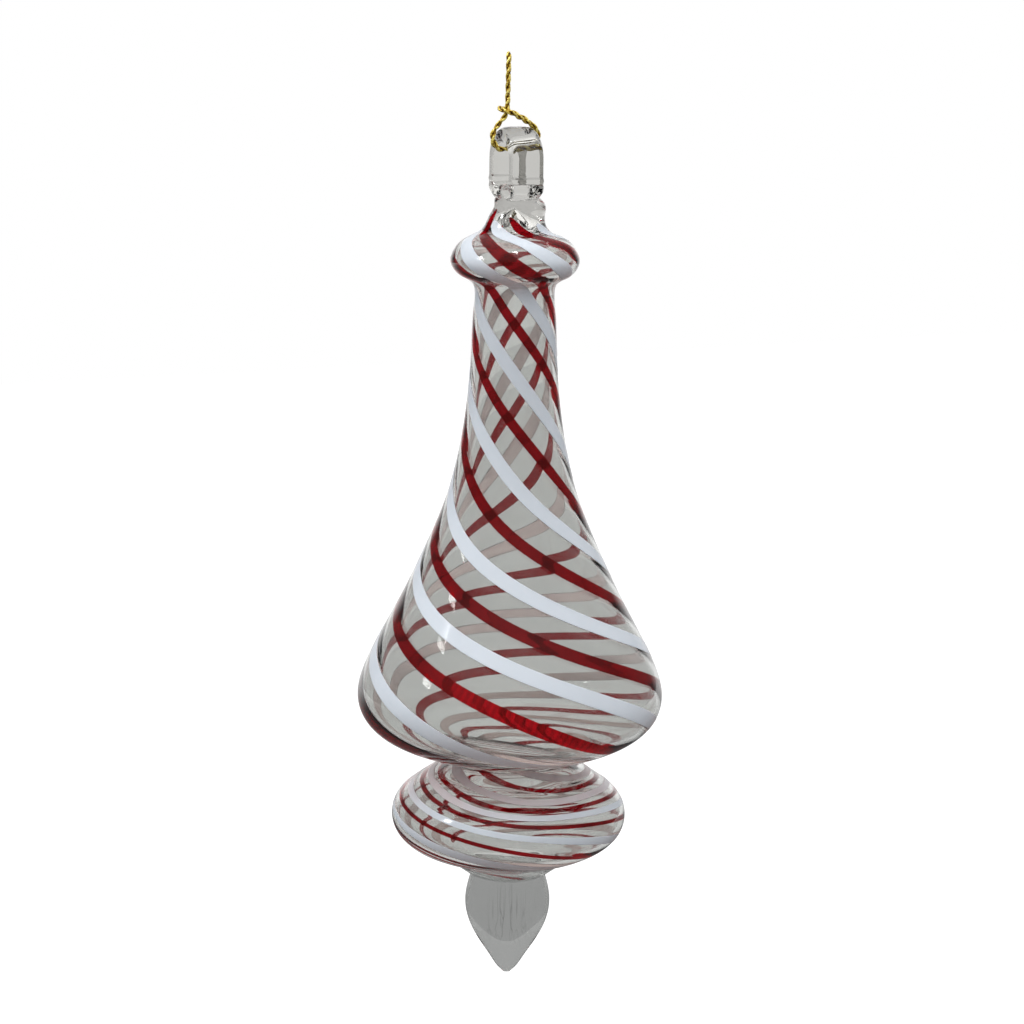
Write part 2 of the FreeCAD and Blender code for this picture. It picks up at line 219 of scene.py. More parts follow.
class FinialStage(bpy.types.PropertyGroup):
    """Place and lens of the camera, and the floor's"""
    distance: bpy.props.FloatProperty(
        name="Camera distance", description="From the camera to the glass's axis", default=0.5476, unit="LENGTH")
    azimuth: bpy.props.FloatProperty(
        name="Camera azimuth", description="Direction from the glass to the camera, from +X",
        default=math.radians(-115), subtype="ANGLE")
    elevation: bpy.props.FloatProperty(
        name="Camera elevation", description="Height of the camera over the aim point", default=math.radians(11),
        subtype="ANGLE")
    view_angle: bpy.props.FloatProperty(
        name="View angle", description="Across the picture", default=math.radians(20.15), subtype="ANGLE")
    roll: bpy.props.FloatProperty(
        name="Roll", description="Turn of the camera about its view", default=math.radians(0.7), subtype="ANGLE")
    floor_gap: bpy.props.FloatProperty(
        name="Floor gap", description="From the drop's tip down to the floor", default=0.11, unit="LENGTH")


class SmoothLine:
    """Cubic through values at rising places, smooth over every station and straight at both ends."""

    def __init__(self, places, values):
        self.places = np.asarray(places, float)
        self.values = np.asarray(values, float)
        gaps = np.diff(self.places)
        count = len(self.places)
        inner = np.arange(1, count - 1)
        system = np.eye(count)
        system[inner, inner - 1] = gaps[:-1]
        system[inner, inner] = 2 * (gaps[:-1] + gaps[1:])
        system[inner, inner + 1] = gaps[1:]
        slopes = np.diff(self.values, axis=0) / gaps[:, None]
        right = np.zeros_like(self.values)
        right[1:-1] = 6 * np.diff(slopes, axis=0)
        self.bends = np.linalg.solve(system, right)

    def _span(self, at):
        index = np.clip(np.searchsorted(self.places, at) - 1, 0, len(self.places) - 2)
        gap = (self.places[index + 1] - self.places[index])[..., None]
        left = (self.places[index + 1] - at)[..., None] / gap
        return index, gap, left, 1 - left

    def read(self, at):
        index, gap, left, right = self._span(np.asarray(at, float))
        bent = ((left ** 3 - left) * self.bends[index] + (right ** 3 - right) * self.bends[index + 1]) * gap ** 2 / 6
        return left * self.values[index] + right * self.values[index + 1] + bent

    def slope(self, at):
        index, gap, left, right = self._span(np.asarray(at, float))
        bent = ((3 * right ** 2 - 1) * self.bends[index + 1] - (3 * left ** 2 - 1) * self.bends[index]) * gap / 6
        return (self.values[index + 1] - self.values[index]) / gap + bent


def body_stations():
    """Outside of the body from tip to seat, as rows of radius, depth below the glass's top and degrees turned.

    Also the rows where a cane's width is given: cone, rim, neck, flare, bell, waist, disc, under it and foot.
    """
    rows = [(0.0, TIP_DEPTH, -75), (3.17, TIP_DEPTH + CONE_HEIGHT / 2, -42), (CONE_R, TIP_DEPTH + CONE_HEIGHT, -7)]
    marks = [2]

    def swelling(shape, top, height, start_r, end_r):
        for share, part, turn in shape:
            rows.append((start_r + part * (end_r - start_r), top + share * height, turn))

    def corner(radius, depth, turn):
        marks.append(len(rows))
        rows.append((radius, depth, turn))

    rim_top = TIP_DEPTH + CONE_HEIGHT
    swelling(RIM, rim_top, RIM_HEIGHT, CONE_R, RIM_R)
    marks.append(len(rows) - 1)
    swelling(UNDER_RIM, rim_top, RIM_HEIGHT, RIM_R, NECK_R)
    neck_top = rim_top + RIM_HEIGHT
    corner(NECK_R, neck_top, 120)
    swelling(NECK, neck_top, NECK_HEIGHT, NECK_R, FLARE_R)
    bell_top = neck_top + NECK_HEIGHT
    corner(FLARE_R, bell_top, 227)
    swelling(BELL, bell_top, BELL_HEIGHT, FLARE_R, BELL_R)
    widest = bell_top + BELL_HEIGHT
    corner(BELL_R, widest, 521)
    swelling(UNDER_BELL, widest, UNDER_HEIGHT, BELL_R, WAIST_R)
    waist = widest + UNDER_HEIGHT
    corner(WAIST_R, waist, 672)
    swelling(DISC, waist, DISC_HEIGHT, WAIST_R, DISC_R)
    marks += [len(rows) - 1, len(rows) + 1]
    swelling(UNDER_DISC, waist, DISC_HEIGHT, DISC_R, FOOT_R)
    corner(FOOT_R, waist + DISC_HEIGHT, 1190)
    return np.array(rows, float), marks


def running_length(points):
    """Distance from the first point to each point, along the straight lines between them."""
    return np.r_[0, np.cumsum(np.linalg.norm(np.diff(points, axis=0), axis=1))]


STATIONS, MARKS = body_stations()
ALONG = running_length(STATIONS[:, :2])
OUTSIDE = SmoothLine(ALONG, STATIONS[:, :2])
TURNING = SmoothLine(ALONG, STATIONS[:, 2:])
SEAT_DEPTH = STATIONS[-1, 1]
CONE_END = ALONG[2]

# Skin of the glass: the gob's, and that of the body below it, at the same places
SKIN_START = GOB_SKIN[0][0]
SKIN = SmoothLine(np.r_[[row[0] for row in GOB_SKIN], ALONG[2:]],
                  np.concatenate([[row[1:] for row in GOB_SKIN], STATIONS[2:, :2]]))

# Section of a cane as shares of its half width and half thickness: flat, with small round edges
SECTION = np.array([(1, -0.7), (1, 0.7), (0.985, 1), (0.92, 1), (0.7, 1), (0.45, 1), (0.2, 1), (-0.2, 1), (-0.45, 1),
                    (-0.7, 1), (-0.92, 1), (-0.985, 1), (-1, 0.7), (-1, -0.7), (-0.9, -1), (0, -1), (0.9, -1)])


def outward(place, outline=OUTSIDE):
    """Unit direction out of the glass, as (radius, depth): the outline's tangent turned by a right angle."""
    tangent = outline.slope(place)
    normal = np.stack([tangent[..., 1], -tangent[..., 0]], axis=-1)
    return normal / np.linalg.norm(normal, axis=-1, keepdims=True)


def inside_line(wall):
    """The cavity's outline, at the same places as the outside: each station moved in by the wall."""
    points = STATIONS[:, :2] - outward(ALONG) * wall
    points[0] = (0, STATIONS[0, 1] + wall / -outward(ALONG[0])[1])
    return SmoothLine(ALONG, points)


def around_axis(outline, degrees):
    """Points of (radius, depth) turned about the glass's axis, in metres in the CAD frame."""
    angle = np.radians(degrees)
    radius, depth = outline[..., 0], outline[..., 1]
    placed = [AXIS_X + radius * np.cos(angle), radius * np.sin(angle), GLASS_TOP - depth + 0 * angle]
    return np.stack(placed, axis=-1) * MM


def strand_places(count, first=0.0, last=ALONG[-1]):
    """Places along the outside that part a cane's path into equal lengths.

    The path's length grows by sqrt(1 + (radius x turn per step)^2) for each step along the outside.
    """
    fine = np.linspace(first, last, 4000)
    lean = OUTSIDE.read(fine)[:, 0] * np.radians(TURNING.slope(fine)[:, 0])
    length = np.r_[0, np.cumsum(np.hypot(1, (lean[1:] + lean[:-1]) / 2) * np.diff(fine))]
    return np.interp(np.linspace(0, length[-1], count), length, fine)


def ring_faces(rows, columns, closed_rows=False):
    """Four-sided faces between neighbouring rings of points; closed_rows also joins the last ring to the first."""
    row = np.arange(rows if closed_rows else rows - 1)[:, None]
    column = np.arange(columns)[None, :]
    below, beside = (row + 1) % rows, (column + 1) % columns
    corners = [row * columns + column, below * columns + column, below * columns + beside, row * columns + beside]
    return np.stack(np.broadcast_arrays(*corners), axis=-1).reshape(-1, 4)


def closed_mesh(name, rings, start=None, end=None, closed_rows=False, marks=None):
    """Mesh of rings of points, closed by one point at each end or end to end, its faces turned outwards.

    The sum over all triangles of a . (b x c) is positive where the faces of a closed surface point outwards.
    """
    rows, columns = rings.shape[:2]
    points = [rings.reshape(-1, 3)]
    faces = ring_faces(rows, columns, closed_rows).tolist()
    turn = np.arange(columns)
    beside = (turn + 1) % columns
    for pole, ring in ((start, 0), (end, (rows - 1) * columns)):
        if pole is None:
            continue
        centre = np.full(columns, sum(len(part) for part in points))
        points.append(np.array(pole, float).reshape(1, 3))
        fan = [centre, ring + turn, ring + beside] if ring == 0 else [centre, ring + beside, ring + turn]
        faces += np.stack(fan, axis=-1).tolist()
    points = np.concatenate(points)
    corner = np.array([[face[0], face[i], face[i + 1]] for face in faces for i in range(1, len(face) - 1)])
    middle = points.mean(axis=0)
    a, b, c = (points[corner[:, i]] - middle for i in range(3))
    if np.einsum("ij,ij->", a, np.cross(b, c)) < 0:
        faces = [face[::-1] for face in faces]
    mesh = bpy.data.meshes.new(name)
    mesh.from_pydata(points.tolist(), [], faces)
    mesh.polygons.foreach_set("use_smooth", np.ones(len(faces), bool))
    for label, values in (marks or {}).items():
        layer = mesh.attributes.new(label, "FLOAT", "POINT")
        layer.data.foreach_set("value", np.asarray(values, np.float32).ravel())
    mesh.update()
    return mesh


def placed(name, content):
    """Object in the scene that holds a mesh, a camera or a lamp."""
    holder = bpy.data.objects.new(name, content)
    bpy.context.scene.collection.objects.link(holder)
    return holder


def show(name, mesh, material, slot, *nodes):
    """Object that rides on the root body, takes the given finish and stands for CAD nodes. The slot is not used."""
    piece = placed(name, mesh)
    mesh.materials.append(material)
    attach(piece, "root")
    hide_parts(*nodes)
    return piece


class Reading:
    """A number that varies over a surface. Arithmetic on it adds Math nodes."""

    def __init__(self, bench, socket):
        self.bench = bench
        self.socket = socket

    def _math(self, operation, first, second):
        return self.bench.value("ShaderNodeMath", {"operation": operation}, {0: first, 1: second})

    def __add__(self, other):
        return self._math("ADD", self, other)

    def __radd__(self, other):
        return self._math("ADD", other, self)

    def __sub__(self, other):
        return self._math("SUBTRACT", self, other)

    def __rsub__(self, other):
        return self._math("SUBTRACT", other, self)

    def __mul__(self, other):
        return self._math("MULTIPLY", self, other)

    def __rmul__(self, other):
        return self._math("MULTIPLY", other, self)

    def __gt__(self, other):
        return self._math("GREATER_THAN", self, other)

    def sine(self):
        return self._math("SINE", self, 0.0)


class Bench:
    """Node tree in which a finish is built."""

    def __init__(self, tree):
        self.tree = tree
        tree.nodes.clear()

    def add(self, kind, settings=None, inputs=None):
        node = self.tree.nodes.new(kind)
        for name, setting in (settings or {}).items():
            if name == "stops":
                for index, (place, colour) in enumerate(setting):
                    stops = node.color_ramp.elements
                    stop = stops[index] if index < len(stops) else stops.new(place)
                    stop.position, stop.color = place, colour
            else:
                setattr(node, name, setting)
        for name, given in (inputs or {}).items():
            if isinstance(given, Reading):
                given = given.socket
            if isinstance(given, bpy.types.NodeSocket):
                self.tree.links.new(given, node.inputs[name])
            else:
                node.inputs[name].default_value = given
        return node

    def value(self, kind, settings=None, inputs=None, output=0):
        return Reading(self, self.add(kind, settings, inputs).outputs[output])

    def mark(self, name):
        return self.value("ShaderNodeAttribute", {"attribute_name": name}, {}, "Fac")

    def noise(self, place, scale, detail):
        return self.value("ShaderNodeTexNoise", {}, {"Vector": place, "Scale": scale, "Detail": detail}, "Fac")

    def finish(self, shader):
        self.add("ShaderNodeOutputMaterial", inputs={"Surface": shader})


def new_bench(name):
    material = bpy.data.materials.new(name)
    material.use_nodes = True
    return material, Bench(material.node_tree)


def clear_glass(name, tint, wave_scale, wave_depth, streaks=0.0):
    """Clear glass with slow waves in its skin, and no skin at all where the mesh is marked as melted to its neighbour.

    Streaks are fine darker lines drawn out along the glass. They lie where a drawn-out noise passes one level, in the
    part that the mesh marks as streaky.
    """
    material, bench = new_bench(name)
    place = bench.add("ShaderNodeTexCoord").outputs["Object"]
    waves = bench.noise(place, wave_scale, 1.0)
    tint = (*tint, 1)
    if streaks:
        drawn = bench.add("ShaderNodeMapping", {}, {"Vector": place, "Scale": (1.0, 1.0, 0.012)}).outputs[0]
        lines = bench.noise(drawn, 700.0, 1.0)
        streaky = bench.mark("streaky")
        thin = bench.value("ShaderNodeValToRGB", {"stops": (
            (0.475, (0, 0, 0, 1)), (0.495, (1, 1, 1, 1)), (0.515, (0, 0, 0, 1)))}, {"Fac": lines})
        dark = (*[part * (1 - streaks) for part in tint[:3]], 1)
        tint = bench.add(
            "ShaderNodeValToRGB", {"stops": ((0.0, tint), (1.0, dark))}, {"Fac": thin * streaky}).outputs[0]
    bump = bench.add("ShaderNodeBump", {}, {"Strength": 1.0, "Distance": wave_depth, "Height": waves})
    glass = bench.add("ShaderNodeBsdfPrincipled", {}, {
        "Base Color": tint, "Roughness": 0.0, "IOR": 1.5, "Transmission Weight": 1.0, "Normal": bump.outputs[0]})
    open_joint = bench.add("ShaderNodeBsdfTransparent")
    melted = bench.mark("melted")
    mixed = bench.add("ShaderNodeMixShader", {}, {0: melted > 0.5, 1: glass.outputs[0], 2: open_joint.outputs[0]})
    bench.finish(mixed.outputs[0])
    return material


def white_glass(tint, through, inside):
    """Opal glass: bluish white where light falls on it, painted pink on the disc's top for a cast from the red glass,
    warm where light comes through.

    Only the outer face scatters. The face marked as under lets light in, because it is melted into the wall. Where it
    looks up into the bubble it glows with painted light, which stands in for the light that falls in through the clear
    glass.
    """
    material, bench = new_bench("white_glass")
    place = bench.add("ShaderNodeTexCoord").outputs["Object"]
    cloud = bench.noise(place, 260.0, 2.0)
    drawn = bench.mark("drawn")
    duller = [part * 0.95 for part in tint]
    painted_pink = tint[0] * 1.08, tint[1] * 0.84, tint[2] * 0.78
    # Painted light: the ramp turns pink along the mark drawn, a painted cast from the red glass on the disc's top; the
    # noise is the glass's own uneven tone
    shades = bench.add("ShaderNodeValToRGB", {"stops": ((0.0, (*tint, 1)), (0.3, (*duller, 1)), (1.0, (*painted_pink, 1)))},
                       {"Fac": cloud * 0.4 + drawn * 0.7})
    skin = bench.add("ShaderNodeBsdfPrincipled", {}, {
        "Base Color": shades.outputs[0], "Roughness": 0.1, "IOR": 1.5})
    glow = bench.add("ShaderNodeBsdfTranslucent", {}, {"Color": (*through, 1)})
    opal = bench.add("ShaderNodeMixShader", {}, {0: 0.4, 1: skin.outputs[0], 2: glow.outputs[0]})
    open_face = bench.add("ShaderNodeBsdfTransparent")
    # Painted glow: the inner faces that look up emit this colour in place of the light that falls in through the clear
    # glass
    painted_glow = bench.add("ShaderNodeEmission", {}, {"Color": (*inside, 1), "Strength": 1.0})
    upturned = bench.mark("upturned")
    inner = bench.add("ShaderNodeMixShader", {}, {
        0: upturned * 0.75, 1: open_face.outputs[0], 2: painted_glow.outputs[0]})
    under = bench.mark("under")
    mixed = bench.add("ShaderNodeMixShader", {}, {0: under > 0.5, 1: opal.outputs[0], 2: inner.outputs[0]})
    bench.finish(mixed.outputs[0])
    return material


def red_glass(tint):
    """Deep red glass inside the clear wall. It filters light and doesn't bend it.

    Where light comes up through it, low on the bell, it is painted brighter, with its ribs painted as light and dark
    steps.
    """
    material, bench = new_bench("red_glass")
    place = bench.add("ShaderNodeTexCoord").outputs["Object"]
    cloud = bench.noise(place, 300.0, 2.0)
    drawn = bench.mark("drawn")
    ribs = bench.mark("rib").sine()
    darker = [part * 0.8 for part in tint]
    painted_lit_red = 0.9, tint[1] * 0.4, tint[2]
    # Painted light: along the mark drawn the red turns to the painted lit red, stepped by the ribs; the noise is the
    # glass's own uneven tone
    shades = bench.add("ShaderNodeValToRGB", {"stops": ((0.1, (*darker, 1)), (0.25, (*tint, 1)), (1.0, (*painted_lit_red, 1)))},
                       {"Fac": cloud * 0.3 + drawn * (ribs * 0.18 + 0.5)})
    skin = bench.add("ShaderNodeBsdfPrincipled", {}, {
        "Base Color": shades.outputs[0], "Roughness": 0.0, "IOR": 1.0, "Transmission Weight": 0.9,
        "Specular IOR Level": 0.0})
    bench.finish(skin.outputs[0])
    return material


def gold_thread(tint):
    """Metallic thread: gold plies with fine foil ribs across them, painted light towards their crowns and painted dark
    in the grooves, where shade falls.
    """
    material, bench = new_bench("gold_thread")
    groove_shade = bench.mark("groove_shade")
    ribs = bench.mark("rib").sine()
    place = bench.add("ShaderNodeTexCoord").outputs["Object"]
    flakes = bench.noise(place, 2600.0, 1.0)
    # Painted shade and highlights: the ramp runs from dark gold in the grooves to pale gold towards the plies' crowns,
    # broken up by random foil flakes
    dark = (tint[0] * 0.12, tint[1] * 0.08, 0.0, 1)
    painted_shine_and_shade = groove_shade * 0.5 + flakes * 1.4 + ribs * 0.08 - 0.5
    shades = bench.add("ShaderNodeValToRGB", {"stops": ((0.25, dark), (0.52, (*tint, 1)),
                                                        (0.78, (1.0, 0.88, 0.24, 1)))}, {"Fac": painted_shine_and_shade})
    bump = bench.add("ShaderNodeBump", {}, {"Strength": 0.6, "Distance": 0.00005, "Height": painted_shine_and_shade})
    skin = bench.add("ShaderNodeBsdfPrincipled", {}, {
        "Base Color": shades.outputs[0], "Roughness": 0.3, "Metallic": 0.4, "Normal": bump.outputs[0]})
    bench.finish(skin.outputs[0])
    return material


def path_frames(points):
    """Tangents and two square directions along a path, carried forward without twist."""
    tangents = np.gradient(points, axis=0)
    tangents /= np.linalg.norm(tangents, axis=1, keepdims=True)
    side = np.cross(tangents[0], (0.3, 0.5, 0.81))
    sides = []
    for tangent in tangents:
        side = side - tangent * (side @ tangent)
        side = side / np.linalg.norm(side)
        sides.append(side)
    sides = np.array(sides)
    return tangents, sides, np.cross(tangents, sides)


def route_line(name):
    """Points in order along the cord's line: one smooth spline with the route's points as its control points."""
    curve = bpy.data.curves.new(name, "CURVE")
    curve.dimensions = "3D"
    curve.resolution_u = 24
    spline = curve.splines.new("NURBS")
    spline.points.add(len(ROUTE) - 1)
    for point, place in zip(spline.points, ROUTE):
        point.co = (*[part * MM for part in place], 1)
    spline.order_u = 3
    spline.use_endpoint_u = True
    holder = bpy.data.objects.new(name, curve)
    line = bpy.data.meshes.new_from_object(holder)
    points = np.empty(len(line.vertices) * 3)
    line.vertices.foreach_get("co", points)
    bpy.data.objects.remove(holder)
    bpy.data.curves.remove(curve)
    bpy.data.meshes.remove(line)
    return points.reshape(-1, 3)


def even_steps(points, step):
    """The same path, read at even distances."""
    length = running_length(points)
    at = np.linspace(0, length[-1], max(3, int(length[-1] / step)))
    return np.stack([np.interp(at, length, points[:, axis]) for axis in range(3)], axis=-1), length[-1]


class FINIAL_OT_cord(bpy.types.Operator):
    """Twisted gold cord: two plies that wind about the route"""
    bl_idname = "finial.cord"
    bl_label = "Hanging cord"

    def execute(self, context):
        sizes = context.scene.finial_cord
        route = route_line("cord_line")
        points, length = even_steps(route, 0.00012)
        _, side, other = path_frames(points)
        ply = sizes.thick / 4
        foil_pitch = 0.00022
        travelled = np.linspace(0, length, len(points))
        round_ply = np.radians(np.arange(0, 360, 30))
        pieces = []
        for start in (0.0, math.pi):
            wind = (start + 2 * math.pi * travelled / sizes.lay)[:, None]
            middle = points + ply * (np.cos(wind) * side + np.sin(wind) * other)
            away = (middle - points) / ply
            square = np.cross(path_frames(middle)[0], away)
            square /= np.linalg.norm(square, axis=1, keepdims=True)
            rings = (middle[:, None] + 1.05 * ply * (np.cos(round_ply)[None, :, None] * away[:, None]
                                                    + np.sin(round_ply)[None, :, None] * square[:, None]))
            # Mask for the painted shade: one on a ply's crown, nought in the groove between the plies
            groove_shade = np.broadcast_to((1 + np.cos(round_ply))[None] / 2, rings.shape[:2])
            rib = np.broadcast_to((2 * math.pi * travelled / foil_pitch)[:, None] + 3 * round_ply[None],
                                  rings.shape[:2])
            marks = {"groove_shade": np.r_[groove_shade.ravel(), 1, 1], "rib": np.r_[rib.ravel(), 0, 0]}
            pieces.append(closed_mesh("ply", rings, middle[0], middle[-1], marks=marks))
        cord = joined("gold_cord", pieces)
        piece = show("gold_cord", cord, gold_thread(sizes.gold), "gold_cord", "hanging_cord")
        return {"FINISHED"}


def joined(name, meshes):
    """One mesh of several, with their attributes."""
    holders = [placed(name, mesh) for mesh in meshes]
    with bpy.context.temp_override(active_object=holders[0], object=holders[0], selected_objects=holders,
                                   selected_editable_objects=holders):
        bpy.ops.object.join()
    mesh = holders[0].data
    bpy.data.objects.remove(holders[0])
    mesh.name = name
    return mesh


class FINIAL_OT_body(bpy.types.Operator):
    """Blown wall from tip to foot, thinner midway between two canes"""
    bl_idname = "finial.body"
    bl_label = "Blown body"

    def execute(self, context):
        sizes = context.scene.finial_glass
        wall = sizes.wall / MM
        starts = np.sort(np.array(WHITE_AT + RED_AT) % 360)
        gaps = np.diff(np.r_[starts, starts[0] + 360])
        share = np.arange(GAP_COLUMNS) / GAP_COLUMNS
        columns = (starts[:, None] + gaps[:, None] * share).ravel()
        from_middle = np.tile(2 * share - 1, len(starts))
        half_gap = np.repeat(np.radians(gaps) / 2, len(share))

        places_down = strand_places(OUTER_RINGS)[1:]
        outside = np.where(places_down[:, None] < CONE_END, OUTSIDE.read(places_down), SKIN.read(places_down))
        turned = TURNING.read(places_down)
        outer = around_axis(outside[:, None], columns[None] + turned)

        edge, seat_r, ceiling_r = 0.02, 5.0, 4.0
        corners = np.array([
            (seat_r, SEAT_DEPTH), (MOUTH_R + edge, SEAT_DEPTH), (MOUTH_R, SEAT_DEPTH - edge),
            (MOUTH_R, SEAT_DEPTH - wall + edge), (MOUTH_R + edge, SEAT_DEPTH - wall), (ceiling_r, SEAT_DEPTH - wall)])
        foot = around_axis(corners[:, None], columns[None] + turned[-1])

        places = strand_places(INNER_RINGS)[:0:-1]
        line = inside_line(wall)
        radius = OUTSIDE.read(places)[:, 0]
        lean = radius * np.radians(TURNING.slope(places)[:, 0])
        half_width = half_gap[None] * (radius / np.hypot(1, lean))[:, None]
        thicker = half_width ** 2 / (2 * sizes.hollow / MM) * hollow_share(np.abs(from_middle))[None]
        inside = line.read(places)[:, None] - outward(places)[:, None] * thicker[..., None]
        inner = around_axis(inside, columns[None] + TURNING.read(places))

        rings = np.concatenate([outer, foot, inner])
        top = around_axis(OUTSIDE.read(np.array([0.0]))[0], 0.0)
        cavity_top = around_axis(line.read(np.array([0.0]))[0], 0.0)
        # The wall has no skin of its own inside the gob, nor at the foot, where the drop is melted on
        melted = np.zeros(rings.shape[:2])
        melted[:len(outer)] = (places_down < CONE_END)[:, None]
        melted[len(outer) - 1:len(outer) + 3] = 1
        marks = {"melted": np.r_[melted.ravel(), 1, 0]}
        mesh = closed_mesh("blown_body", rings, top, cavity_top, marks=marks)
        # The wall's grey tint is painted shade for the dimmer room seen through it
        glass = clear_glass("clear_wall", sizes.tint, wave_scale=90.0, wave_depth=0.00003)
        show("blown_body", mesh, glass, "clear_glass", "glass_body")
        return {"FINISHED"}


def hollow_share(off):
    """Depth of the hollow between two canes, over its distance from the middle (0) to a cane's own middle (1).

    A parabola up to 0.8, and from there its slope falls evenly to nothing, so that the wall is smooth over the cane.
    """
    return np.where(off < 0.8, off ** 2, 0.64 + 1.6 * (off - 0.8) - 4 * (off - 0.8) ** 2)


def near(places, middle, reach, power=2):
    """One in the middle, falling as exp(-(distance / reach)^power) on both sides."""
    return np.exp(-((places - middle) / reach) ** power)


def bulged(outline, degrees):
    """The clear gob swells to one side: a hump over the depth times the cosine of the angle from that side."""
    hump = BULGE * near(outline[..., 1], BULGE_DEPTH, BULGE_REACH)
    swell = 1 + hump * np.cos(np.radians(degrees - BULGE_SIDE))
    return np.stack([outline[..., 0] * swell, outline[..., 1] + 0 * swell], axis=-1)


def cane_rings(start, ends, width, shares, thick, skin):
    """Rings of one cane from tip to foot, the mark of its under face, each ring's place and the length so far.

    The section is a flat band with round edges, its top a skin's depth inside the wall. Both tips are rounded off over
    five rings. On the gob the band rides higher, and on the disc the whole winding sags away from one side. A step
    sideways, square to the cane, goes back along the glass by lean / size and round the axis by 1 / (size x radius),
    where lean is the radius times the turning rate and size is sqrt(1 + lean^2).
    """
    upper_end, ahead, short_by = ends
    places = strand_places(CANE_RINGS, upper_end, ALONG[-1] - short_by)
    ring = np.arange(len(places))
    end = np.clip(np.minimum(ring + 0.15, len(places) - 0.85 - ring) / 5, 0, 1)
    taper = np.sqrt(1 - (1 - end) ** 2)
    full = width * np.interp(places, ALONG[MARKS], shares) * taper
    side = full[:, None] / 2 * SECTION[:, 0]
    on_gob = np.clip((CONE_END + 1.6 - places) / 1.0, 0, 1)[:, None]
    lift = thick / 2 * SECTION[:, 1] * taper[:, None] - thick / 2 - skin + GOB_LIFT * on_gob
    turned = start + ahead * np.clip((AHEAD_UNTIL - places) / AHEAD_OVER, 0, 1) + TURNING.read(places)[:, 0]
    from_side = (turned - SAG_SIDE + 180) % 360 - 180
    path = places - SAG * (1 - near(from_side, 0, SAG_SPREAD)) * near(places, SAG_PLACE, SAG_REACH)
    radius = SKIN.read(path)[:, 0]
    lean = radius * np.gradient(np.radians(turned), path)
    size = np.hypot(1, lean)
    moved = np.clip(path[:, None] - side * (lean / size)[:, None], SKIN_START, ALONG[-1])
    degrees = turned[:, None] + np.degrees(side / (size * radius)[:, None])
    outline = SKIN.read(moved) + outward(moved, SKIN) * lift[..., None]
    under = np.broadcast_to(SECTION[:, 1] < -0.9, lift.shape)
    travelled = np.r_[0, np.cumsum(np.hypot(np.diff(path), radius[1:] * np.diff(np.radians(turned))))]
    return around_axis(bulged(outline, degrees), degrees), under, path, travelled


class FINIAL_OT_canes(bpy.types.Operator):
    """Four white and four red canes trailed over the wall"""
    bl_idname = "finial.canes"
    bl_label = "Spiral canes"

    def execute(self, context):
        sizes = context.scene.finial_glass
        thick = sizes.cane_thick / MM
        for name, starts, ends, width, shares, skin, material in (
                ("white_canes", WHITE_AT, WHITE_ENDS, sizes.white_width, WHITE_SHARES, WHITE_SKIN,
                 white_glass(sizes.white, sizes.white_through, sizes.white_painted_glow)),
                ("red_canes", RED_AT, RED_ENDS, sizes.red_width, RED_SHARES, RED_SKIN, red_glass(sizes.red))):
            strands = []
            for start, cane_ends in zip(starts, ends):
                rings, under, path, travelled = cane_rings(start, cane_ends, width / MM, shares, thick, skin)
                # The mark drawn is painted light: a pink cast on the white canes on the disc's top, and on one red
                # cane the brightness of light that comes up through it low on the bell
                if name == "white_canes":
                    drawn = near(path, *WHITE_PAINTED_PINK)
                else:
                    drawn = near(path, *RED_PAINTED_LIGHT) * (start == RED_AT[1])
                ribs = travelled * 2 * math.pi / RIB_PITCH
                # Mask of the painted glow: how far a cane's face looks up into the bubble
                upturned = np.clip(outward(path, SKIN)[:, 1], 0, 1)
                marks = {label: np.r_[np.broadcast_to(values[:, None], under.shape).ravel(), values[0], values[-1]]
                         for label, values in (("drawn", drawn), ("rib", ribs), ("upturned", upturned))}
                marks["under"] = np.r_[under.ravel(), 0, 0]
                tips = rings[0].mean(axis=0), rings[-1].mean(axis=0)
                strands.append(closed_mesh(name, rings, *tips, marks=marks))
            show(name + "_trailed", joined(name, strands), material, name.split("_")[0] + "_glass", name)
        return {"FINISHED"}


class FINIAL_OT_eye(bpy.types.Operator):
    """Folded ring of thick clear glass on a gob that swells over the body's tip"""
    bl_idname = "finial.eye"
    bl_label = "Hanging eye"

    def execute(self, context):
        sizes = context.scene.finial_glass
        ring = closed_mesh("ring", ring_rings(), closed_rows=True)
        mesh = melted_together(joined("hanging_eye_clear", [ring, gob_mesh()]), grain=0.00015, rounds=4)
        # The eye has no skin of its own where it lies in the body's wall
        points = np.empty(len(mesh.vertices) * 3)
        mesh.vertices.foreach_get("co", points)
        points = points.reshape(-1, 3) / MM
        radius = np.hypot(points[:, 0] - AXIS_X, points[:, 1])
        depth = GLASS_TOP - points[:, 2]
        body = OUTSIDE.read(np.linspace(0, ALONG[4], 200))
        melted = radius < np.interp(depth, body[:, 1], body[:, 0], left=0) - 0.01
        layer = mesh.attributes.new("melted", "FLOAT", "POINT")
        layer.data.foreach_set("value", melted.astype(np.float32))
        glass = clear_glass("clear_eye", sizes.eye_painted_grey, wave_scale=200.0, wave_depth=0.00005)
        show("hanging_eye_clear", mesh, glass, "clear_glass", "hanging_eye")
        return {"FINISHED"}


def squared(wave, power):
    """A sine or cosine raised to a power with its sign kept, which turns an ellipse into a superellipse."""
    return np.sign(wave) * np.abs(wave) ** power


